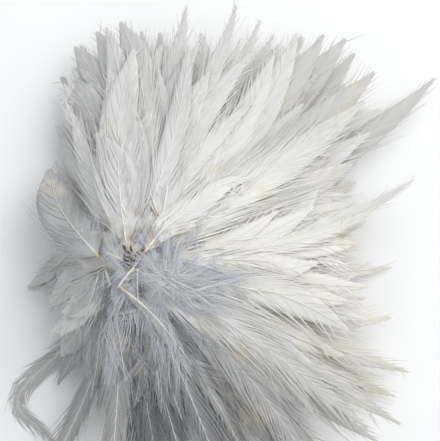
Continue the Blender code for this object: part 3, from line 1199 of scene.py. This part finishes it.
class FEATHERS_OT_loose(bpy.types.Operator):
    """Build the loose feathers on the upper side, and the bare quill at the core"""

    bl_idname = "feathers.loose"
    bl_label = "Loose Feathers"

    def execute(self, context):
        sizes = context.scene.feather_sizes
        materials = feather_materials(context.scene.feather_colours)
        meshes = []
        for number, loose in enumerate((*LOOSE_FEATHERS, BARE_QUILL)):
            dice = random.Random(sizes.seed * 50 + number)
            path = loose_path(loose)
            inputs = feather_inputs(path, sizes, sizes.seed * 900 + number)
            inputs["Half Width"] = path.half_width
            inputs["Down Barbs"] = loose.down
            inputs.update(painted_shade_cream_and_web(path, dice))
            # Some loose feathers on the left get more painted shade
            inputs["Grey"] += loose.grey
            inputs["Web"] = loose.web
            inputs["Shaft Radius"] = sizes.shaft_radius * 1.15
            inputs.update(materials)
            meshes.append(laid_feather("loose_feather", path, inputs, dice))
        show_piece("loose_feathers", join_meshes("loose_feathers", meshes), "inner_feathers")
        return {"FINISHED"}


class FEATHERS_OT_inner(bpy.types.Operator):
    """Build the shorter feathers between the long ones, and those under the arch"""

    bl_idname = "feathers.inner"
    bl_label = "Inner Feathers"

    def execute(self, context):
        sizes = context.scene.feather_sizes
        inner = context.scene.inner_sizes
        materials = feather_materials(context.scene.feather_colours)
        dice = random.Random(sizes.seed + 71)
        hosts = [path_of(name) for name in LONG_FEATHERS if name != BENT_FEATHER]
        meshes = self.short_feathers(hosts, sizes, inner, materials, dice)
        meshes += self.low_feathers(hosts, sizes, materials, dice)
        for batch in range(BATCHES):
            name = f"inner_feathers_{batch + 1}"
            show_piece(name, join_meshes(name, meshes[batch::BATCHES]), "inner_feathers")
        return {"FINISHED"}

    def short_feathers(self, hosts, sizes, inner, materials, dice):
        """Feathers that lie between the long ones, a little above them."""
        meshes = []
        span = inner.longest - inner.shortest
        for number, host in enumerate(hosts):
            most = usual_reach(hosts, number)
            for copy in range(inner.per_feather):
                turn = math.radians((copy - 1.5) * 2.6 + dice.uniform(-1.6, 1.6))
                share = inner.shortest + span * ((copy * 3 + number) % 4 + dice.random()) / 4
                if points_to(host, STRUT_SIDE):
                    share *= STRUT_SHARE
                elif points_to(host, OPEN_SIDE):
                    share *= OPEN_SHARE
                lift = dice.uniform(0.5, 1.8) * MM
                path = inner_path(host, turn, share, lift, 1.0, dice.uniform(-0.2, 0.2), most)
                seed = sizes.seed * 300 + number * 5 + copy
                inputs = feather_inputs(path, sizes, seed, SHORT_COARSE)
                inputs["Half Width"] = host.half_width * dice.uniform(*SHORT_WIDER)
                inputs.update(painted_shade_cream_and_web(path, dice))
                inputs["Split"] = sizes.split * dice.uniform(0.6, 1.8)
                inputs["Ragged"] = sizes.ragged * dice.uniform(0.6, 2.0)
                inputs["Shaft Radius"] = sizes.shaft_radius * 0.8
                inputs.update(SHORT | materials)
                meshes.append(laid_feather("short_feather", path, inputs, dice))
        return meshes

    def low_feathers(self, hosts, sizes, materials, dice):
        """Flatter feathers that fill the space under the arch."""
        meshes = []
        for number, host in enumerate(hosts[::2]):
            share = dice.uniform(0.5, 0.75)
            most = usual_reach(hosts, 2 * number)
            height = dice.choice((0.5, 0.72))
            path = inner_path(host, dice.uniform(-0.05, 0.05), share, 0.0, height, 0.0, most)
            inputs = feather_inputs(path, sizes, sizes.seed * 700 + number, LOW_COARSE)
            inputs["Half Width"] = host.half_width
            inputs.update(LOW | materials)
            meshes.append(laid_feather("low_feather", path, inputs, dice))
        return meshes


def core_down_tree():
    """Downy barbs spread round the core, rooted on its slope and curling outwards."""
    inputs = {
        "Barbs": 1000,
        "Points": 7,
        "Length": 0.02,
        "Radius": 0.00014,
        "Nearest": 0.006,
        "Furthest": 0.04,
        "First Azimuth": -math.pi,
        "Last Azimuth": math.pi,
        "Tuft": 14.0,
        "Spread": 0.34,
        "Seed": 1,
    }
    tree = Tree("core down", inputs, ("Down Material",))
    strands, number = tree.strands(tree["Barbs"], tree["Points"])
    share = tree.share_along()

    # The strands of a tuft share one number, part from each other and close again at the tip
    tuft = tree.math("FLOOR", number / tree["Tuft"])
    apart = tree["Spread"] * share * (1.0 - 0.7 * share)
    near = tree["Nearest"]
    out = near + (tree["Furthest"] - near) * tree.random(0.0, 1.0, tuft, 1.0) ** 1.3
    first = tree["First Azimuth"]
    azimuth = first + (tree["Last Azimuth"] - first) * tree.random(0.0, 1.0, tuft, 2.0)
    size = tree["Length"] * (tree.random(0.5, 1.0, tuft, 3.0) * tree.random(0.7, 1.0, number, 8.0))
    splay = tree.random(-0.8, 0.8, tuft, 4.0)
    lift = tree.random(0.0, 0.42, tuft, 5.0)
    curl = tree.random(-0.8, 0.8, tuft, 6.0)
    wave = 0.025 * tree.math("SINE", share * 8.0 + number * 2.3) * share
    aside = share * tree.math("SINE", splay) + curl * share * share * 0.5
    aside = aside + wave + tree.random(-1.0, 1.0, number, 9.0) * apart
    forward = out + size * (share * tree.math("COSINE", splay))
    forward = forward + tree.random(-ROOTS_APART, ROOTS_APART, number, 10.0)
    sideways = size * aside + tree.random(-ROOTS_APART, ROOTS_APART, number, 11.0)
    cosine = tree.math("COSINE", azimuth)
    sine = tree.math("SINE", azimuth)
    rise = lift * share * (1.2 - share) + wave + tree.random(-0.3, 0.7, number, 12.0) * apart
    x = forward * cosine - sideways * sine
    y = forward * sine + sideways * cosine
    shade = tree.random(0.0, 0.4, number, 7.0) + tree.random(0.1, 0.6, tuft, 13.0)
    strands = tree.store(strands, barb_along=share, barb_pick=shade)
    strands = tree.moved(strands, tree.vector(x, y, size * rise))
    thin = tree["Radius"]
    swept = tree.sweep(strands, tree.profile(3, thin, thin), 1.0 - 0.8 * share)
    return tree.finish([swept], ("Down Material",))


class FEATHERS_OT_down(bpy.types.Operator):
    """Build the down round the core, thickest on the right of it"""

    bl_idname = "feathers.down"
    bl_label = "Core Down"

    def execute(self, context):
        sizes = context.scene.feather_sizes
        inner = context.scene.inner_sizes
        materials = feather_materials(context.scene.feather_colours)
        tree = tree_named("core down", core_down_tree)
        for number, patch in enumerate(DOWN_PATCHES):
            values = {
                "Barbs": round(inner.down_barbs * patch.part),
                "Length": inner.down_length * patch.scale,
                "Nearest": patch.nearest * MM,
                "Furthest": patch.furthest * MM,
                "First Azimuth": math.radians(patch.first),
                "Last Azimuth": math.radians(patch.last),
                "Seed": sizes.seed + number,
                "Down Material": materials["Down Material"],
            }
            mesh = grow(tree, patch.name, values)
            corners = corners_of(mesh)
            corners[:, :2] += np.array(patch.centre) * MM
            corners[:, 2] += upper_side().at(corners[:, :2]) + patch.rise * MM
            corners[:, :2] += AXIS
            place_corners(mesh, corners)
            show_piece(patch.name, mesh, "inner_feathers")
        return {"FINISHED"}


def thread_tree():
    """A two-ply thread along a line: each ply winds round it and is swept to a tube."""
    inputs = {"Line": None, "Step": 0.0006, "Ply Radius": 0.00014, "Twist": 3600.0, "Seed": 1}
    tree = Tree("twisted thread", inputs, ("Thread Material",))
    line = tree.out("GeometryNodeMeshToCurve", {0: tree["Line"]})
    line = tree.out("GeometryNodeResampleCurve", {"Curve": line, "Length": tree["Step"]}, mode="LENGTH")
    plies, number = tree.copies(line, 2)
    travelled = tree.out("GeometryNodeSplineParameter", output="Length")
    angle = travelled * tree["Twist"] + number * math.pi
    tangent = tree.out("GeometryNodeInputTangent")
    normal = tree.out("GeometryNodeInputNormal")
    turned = tree.out("ShaderNodeVectorRotate", {"Vector": normal, "Axis": tangent, "Angle": angle})
    away = tree.out("ShaderNodeVectorMath", {0: turned, "Scale": tree["Ply Radius"]}, operation="SCALE")
    thin = tree["Ply Radius"] * 1.1
    swept = tree.sweep(tree.shifted(plies, away), tree.profile(5, thin, thin), 1.0)
    return tree.finish([swept], ("Thread Material",))


class FEATHERS_OT_thread(bpy.types.Operator):
    """Build the thread that strings the quills, with its loose end"""

    bl_idname = "feathers.thread"
    bl_label = "Stringing Thread"

    def execute(self, context):
        scene = context.scene
        material = material_named("cotton thread", thread_material, scene.feather_colours)
        route = self.route()
        line = bpy.data.meshes.new("thread_line")
        line.from_pydata(route, [(i, i + 1) for i in range(len(route) - 1)], [])
        values = {"Seed": scene.feather_sizes.seed, "Thread Material": material}
        mesh = grow(tree_named("twisted thread", thread_tree), "twisted_thread", values, line)
        show_piece("twisted_thread", mesh, "stringing_thread")
        return {"FINISHED"}

    def route(self):
        """The middle line of the CAD thread, in order, with a loose end from its upper end."""
        middles = [tuple(ring.mean(axis=0)) for ring in rings_of("stringing_thread", thread_ring)]
        for corner in np.array(THREAD_END) * MM:
            height = upper_side().at(corner[None, :])[0] + THREAD_LIFT
            middles.append((*(corner + AXIS), height))
        return middles


# The stage


class FEATHERS_OT_studio(bpy.types.Operator):
    """Build the floor, the soft lights and the camera"""

    bl_idname = "feathers.studio"
    bl_label = "Studio"

    def execute(self, context):
        studio = context.scene.feather_studio
        self.floor(studio)
        self.light("key_light", studio.key_power, KEY_SIZE, KEY_PLACE, KEY_COLOUR)
        self.light("fill_light", studio.fill_power, FILL_SIZE, FILL_PLACE, FILL_COLOUR)
        world = bpy.data.worlds.new("pale studio")
        world.use_nodes = True
        background = world.node_tree.nodes["Background"]
        background.inputs["Color"].default_value = (*SKY_COLOUR, 1)
        background.inputs["Strength"].default_value = studio.sky
        context.scene.world = world
        context.scene.view_settings.view_transform = "Standard"
        self.camera(context, studio)
        return {"FINISHED"}

    def floor(self, studio):
        shape = bmesh.new()
        bmesh.ops.create_grid(shape, x_segments=1, y_segments=1, size=FLOOR_SIZE)
        mesh = bpy.data.meshes.new("floor")
        shape.to_mesh(mesh)
        shape.free()
        mesh.materials.append(floor_material(tuple(studio.floor)))
        show("floor", mesh)

    def light(self, name, power, size, place, colour):
        lamp = bpy.data.lights.new(name, "AREA")
        lamp.energy = power
        lamp.size = size
        lamp.color = colour
        lamp_object = bpy.data.objects.new(name, lamp)
        lamp_object.location = place
        aim = Vector((*AXIS, LIGHT_TARGET_HEIGHT)) - Vector(place)
        lamp_object.rotation_euler = aim.to_track_quat("-Z", "Y").to_euler()
        bpy.context.scene.collection.objects.link(lamp_object)

    def camera(self, context, studio):
        data = bpy.data.cameras.new("camera")
        data.sensor_width = 36
        data.lens = studio.lens
        camera = bpy.data.objects.new("camera", data)
        back = Vector((0, -math.cos(studio.elevation), math.sin(studio.elevation)))
        camera.location = Vector(CAMERA_TARGET) + back * studio.distance
        camera.rotation_euler = (math.pi / 2 - studio.elevation, 0, 0)
        context.scene.collection.objects.link(camera)
        context.scene.camera = camera


class FEATHERS_PT_panel(bpy.types.Panel):
    """Lists the pieces of the bunch in the order they are built"""

    bl_label = "Strung Feather Bunch"
    bl_idname = "FEATHERS_PT_panel"
    bl_space_type = "VIEW_3D"
    bl_region_type = "UI"
    bl_category = "Feathers"

    def draw(self, context):
        scene = context.scene
        for settings in (scene.feather_sizes, scene.inner_sizes, scene.feather_colours, scene.feather_studio):
            box = self.layout.box()
            for name in settings.__annotations__:
                box.prop(settings, name)
        for operator in STEPS:
            self.layout.operator(operator.bl_idname)


SETTINGS = (
    ("feather_sizes", FeatherSizes),
    ("inner_sizes", InnerSizes),
    ("feather_colours", FeatherColours),
    ("feather_studio", StudioSettings),
)
STEPS = (
    FEATHERS_OT_long,
    FEATHERS_OT_loose,
    FEATHERS_OT_inner,
    FEATHERS_OT_down,
    FEATHERS_OT_thread,
    FEATHERS_OT_studio,
)


def register():
    for name, group in SETTINGS:
        bpy.utils.register_class(group)
        setattr(bpy.types.Scene, name, bpy.props.PointerProperty(type=group))
    for step in STEPS:
        bpy.utils.register_class(step)
    bpy.utils.register_class(FEATHERS_PT_panel)


def unregister():
    bpy.utils.unregister_class(FEATHERS_PT_panel)
    for step in reversed(STEPS):
        bpy.utils.unregister_class(step)
    for name, group in reversed(SETTINGS):
        delattr(bpy.types.Scene, name)
        bpy.utils.unregister_class(group)


def main():
    register()
    bpy.ops.feathers.long()
    bpy.ops.feathers.loose()
    bpy.ops.feathers.inner()
    bpy.ops.feathers.down()
    bpy.ops.feathers.thread()
    bpy.ops.feathers.studio()


if __name__ == "__main__":
    main()
